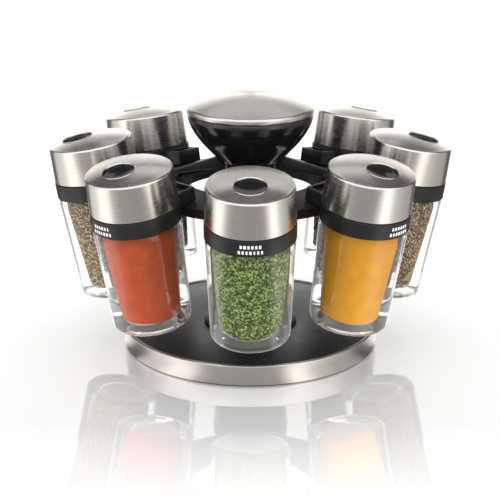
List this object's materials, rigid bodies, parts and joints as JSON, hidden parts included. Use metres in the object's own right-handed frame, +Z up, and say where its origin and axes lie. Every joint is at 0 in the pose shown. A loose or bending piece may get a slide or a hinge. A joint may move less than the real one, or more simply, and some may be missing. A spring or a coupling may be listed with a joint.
{
  "type": "spice carousel",
  "caption": "Table-top spice carousel: a weighted round base, a spinning frame with a steel-capped knob, and tilted glass jars that lift off, each with a twist cap.",
  "frame": {"origin": "centre of the base's underside, on the table", "axes": "+Z up along the axis the carousel spins on; jar 1 and its aperture face -Y"},
  "size_m": [0.2412, 0.2412, 0.155],
  "materials": {
    "rubber": "soft matt",
    "satin_black": "satin moulded",
    "gloss_black": "polished",
    "brushed_steel": "fine circular brushing",
    "turned_steel": "turned",
    "bearing_plastic": "smooth, self-lubricating",
    "cast_iron": "as cast",
    "clear_glass": "polished, clear",
    "spice_parsley": "dried green flakes",
    "spice_turmeric": "fine yellow powder",
    "spice_coriander": "crushed tan seed",
    "spice_oregano": "dried olive leaf",
    "spice_pepper": "dark cracked grains",
    "spice_thyme": "dried grey-green leaf",
    "spice_mixed_herb": "coarse tan herb mix",
    "spice_paprika": "fine orange-red powder"
  },
  "bodies": {
    "base": {"foot_ring": "rubber", "base_tray": "satin_black", "rim_band": "brushed_steel", "top_plate": "satin_black", "ballast_plate": "cast_iron", "spindle_bush": "bearing_plastic", "thrust_washer": "bearing_plastic"},
    "rotor": {"spindle": "turned_steel", "retaining_clip": "turned_steel", "column": "satin_black", "hub_spider": "satin_black", "carrier_ring": "satin_black", "knob_bowl": "gloss_black", "knob_nut": "turned_steel", "knob_cap": "brushed_steel", "arm_screw_1": "turned_steel", "arm_screw_2": "turned_steel", "arm_screw_3": "turned_steel", "arm_screw_4": "turned_steel"},
    "jar_1": {"glass_jar_1": "clear_glass", "collar_1": "satin_black", "sifter_1": "gloss_black", "spice_1": "spice_parsley"},
    "cap_1": {"steel_cap_1": "brushed_steel"},
    "jar_2": {"glass_jar_2": "clear_glass", "collar_2": "satin_black", "sifter_2": "gloss_black", "spice_2": "spice_turmeric"},
    "cap_2": {"steel_cap_2": "brushed_steel"},
    "jar_3": {"glass_jar_3": "clear_glass", "collar_3": "satin_black", "sifter_3": "gloss_black", "spice_3": "spice_coriander"},
    "cap_3": {"steel_cap_3": "brushed_steel"},
    "jar_4": {"glass_jar_4": "clear_glass", "collar_4": "satin_black", "sifter_4": "gloss_black", "spice_4": "spice_oregano"},
    "cap_4": {"steel_cap_4": "brushed_steel"},
    "jar_5": {"glass_jar_5": "clear_glass", "collar_5": "satin_black", "sifter_5": "gloss_black", "spice_5": "spice_pepper"},
    "cap_5": {"steel_cap_5": "brushed_steel"},
    "jar_6": {"glass_jar_6": "clear_glass", "collar_6": "satin_black", "sifter_6": "gloss_black", "spice_6": "spice_thyme"},
    "cap_6": {"steel_cap_6": "brushed_steel"},
    "jar_7": {"glass_jar_7": "clear_glass", "collar_7": "satin_black", "sifter_7": "gloss_black", "spice_7": "spice_mixed_herb"},
    "cap_7": {"steel_cap_7": "brushed_steel"},
    "jar_8": {"glass_jar_8": "clear_glass", "collar_8": "satin_black", "sifter_8": "gloss_black", "spice_8": "spice_paprika"},
    "cap_8": {"steel_cap_8": "brushed_steel"}
  },
  "joints": [
    {"name": "carousel_spin", "type": "hinge", "parent": "base", "child": "rotor", "pos_m": [0, 0, 0.013], "axis": [0, 0, 1], "continuous": true},
    {"name": "jar_1_lift", "type": "slide", "parent": "rotor", "child": "jar_1", "axis": [0, -0.1676, 0.9859], "range_m": [0, 0.07]},
    {"name": "cap_1_twist", "type": "hinge", "parent": "jar_1", "child": "cap_1", "pos_m": [0, -0.0804, 0.0343], "axis": [0, -0.1676, 0.9859], "range_deg": [0, 180]},
    {"name": "jar_2_lift", "type": "slide", "parent": "rotor", "child": "jar_2", "axis": [0.1185, -0.1185, 0.9859], "range_m": [0, 0.07]},
    {"name": "cap_2_twist", "type": "hinge", "parent": "jar_2", "child": "cap_2", "pos_m": [0.05685, -0.05685, 0.0343], "axis": [0.1185, -0.1185, 0.9859], "range_deg": [0, 180]},
    {"name": "jar_3_lift", "type": "slide", "parent": "rotor", "child": "jar_3", "axis": [0.1676, 0, 0.9859], "range_m": [0, 0.07]},
    {"name": "cap_3_twist", "type": "hinge", "parent": "jar_3", "child": "cap_3", "pos_m": [0.0804, 0, 0.0343], "axis": [0.1676, 0, 0.9859], "range_deg": [0, 180]},
    {"name": "jar_4_lift", "type": "slide", "parent": "rotor", "child": "jar_4", "axis": [0.1185, 0.1185, 0.9859], "range_m": [0, 0.07]},
    {"name": "cap_4_twist", "type": "hinge", "parent": "jar_4", "child": "cap_4", "pos_m": [0.05685, 0.05685, 0.0343], "axis": [0.1185, 0.1185, 0.9859], "range_deg": [0, 180]},
    {"name": "jar_5_lift", "type": "slide", "parent": "rotor", "child": "jar_5", "axis": [0, 0.1676, 0.9859], "range_m": [0, 0.07]},
    {"name": "cap_5_twist", "type": "hinge", "parent": "jar_5", "child": "cap_5", "pos_m": [0, 0.0804, 0.0343], "axis": [0, 0.1676, 0.9859], "range_deg": [0, 180]},
    {"name": "jar_6_lift", "type": "slide", "parent": "rotor", "child": "jar_6", "axis": [-0.1185, 0.1185, 0.9859], "range_m": [0, 0.07]},
    {"name": "cap_6_twist", "type": "hinge", "parent": "jar_6", "child": "cap_6", "pos_m": [-0.05685, 0.05685, 0.0343], "axis": [-0.1185, 0.1185, 0.9859], "range_deg": [0, 180]},
    {"name": "jar_7_lift", "type": "slide", "parent": "rotor", "child": "jar_7", "axis": [-0.1676, 0, 0.9859], "range_m": [0, 0.07]},
    {"name": "cap_7_twist", "type": "hinge", "parent": "jar_7", "child": "cap_7", "pos_m": [-0.0804, 0, 0.0343], "axis": [-0.1676, 0, 0.9859], "range_deg": [0, 180]},
    {"name": "jar_8_lift", "type": "slide", "parent": "rotor", "child": "jar_8", "axis": [-0.1185, -0.1185, 0.9859], "range_m": [0, 0.07]},
    {"name": "cap_8_twist", "type": "hinge", "parent": "jar_8", "child": "cap_8", "pos_m": [-0.05685, -0.05685, 0.0343], "axis": [-0.1185, -0.1185, 0.9859], "range_deg": [0, 180]}
  ]
}
